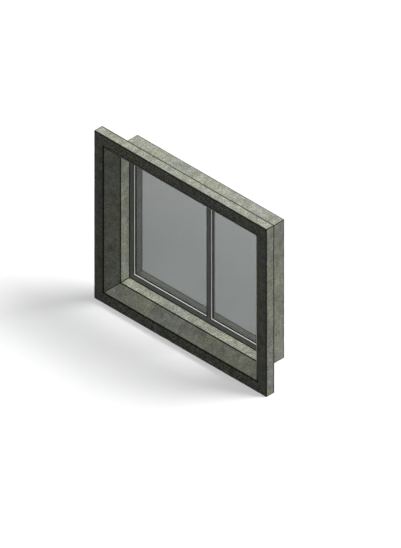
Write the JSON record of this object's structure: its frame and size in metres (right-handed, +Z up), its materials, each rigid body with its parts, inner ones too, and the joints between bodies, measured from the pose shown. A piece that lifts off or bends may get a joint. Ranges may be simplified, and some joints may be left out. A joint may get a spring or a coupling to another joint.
{
  "type": "fixed window in a precast concrete surround",
  "caption": "Fixed window with a slim metal frame, off-centre mullion and tinted glass, set in a one-piece precast concrete surround with a splayed collar.",
  "frame": {"origin": "on the back face of the surround's collar, at the middle of the width and of the height of its bottom band, in the plane of the host wall's outer face", "axes": "+X along the wall to the right as seen from outside, +Y into the wall towards the room, +Z up"},
  "size_m": [1.9, 0.34, 1.6],
  "materials": {
    "concrete": "matt mottled precast concrete, warm grey",
    "frame_metal": "satin light grey powder coat on aluminium",
    "tinted_glass": "neutral grey tint, polished",
    "gasket_rubber": "matt black",
    "sealant": "black, tooled, slightly glossy",
    "packer_plastic": "black moulded"
  },
  "bodies": {
    "root": {"precast_surround": "concrete", "frame_head": "frame_metal", "frame_sill": "frame_metal", "frame_jamb_left": "frame_metal", "frame_jamb_right": "frame_metal", "mullion": "frame_metal", "bead_left_light_head": "frame_metal", "bead_left_light_sill": "frame_metal", "bead_left_light_left": "frame_metal", "bead_left_light_right": "frame_metal", "bead_right_light_head": "frame_metal", "bead_right_light_sill": "frame_metal", "bead_right_light_left": "frame_metal", "bead_right_light_right": "frame_metal", "glass_left": "tinted_glass", "glass_right": "tinted_glass", "outer_gasket_left": "gasket_rubber", "outer_gasket_right": "gasket_rubber", "inner_gasket_left": "gasket_rubber", "inner_gasket_right": "gasket_rubber", "setting_blocks_left": "gasket_rubber", "setting_blocks_right": "gasket_rubber", "outer_sealant": "sealant", "inner_sealant": "sealant", "frame_packers": "packer_plastic"}
  },
  "joints": []
}
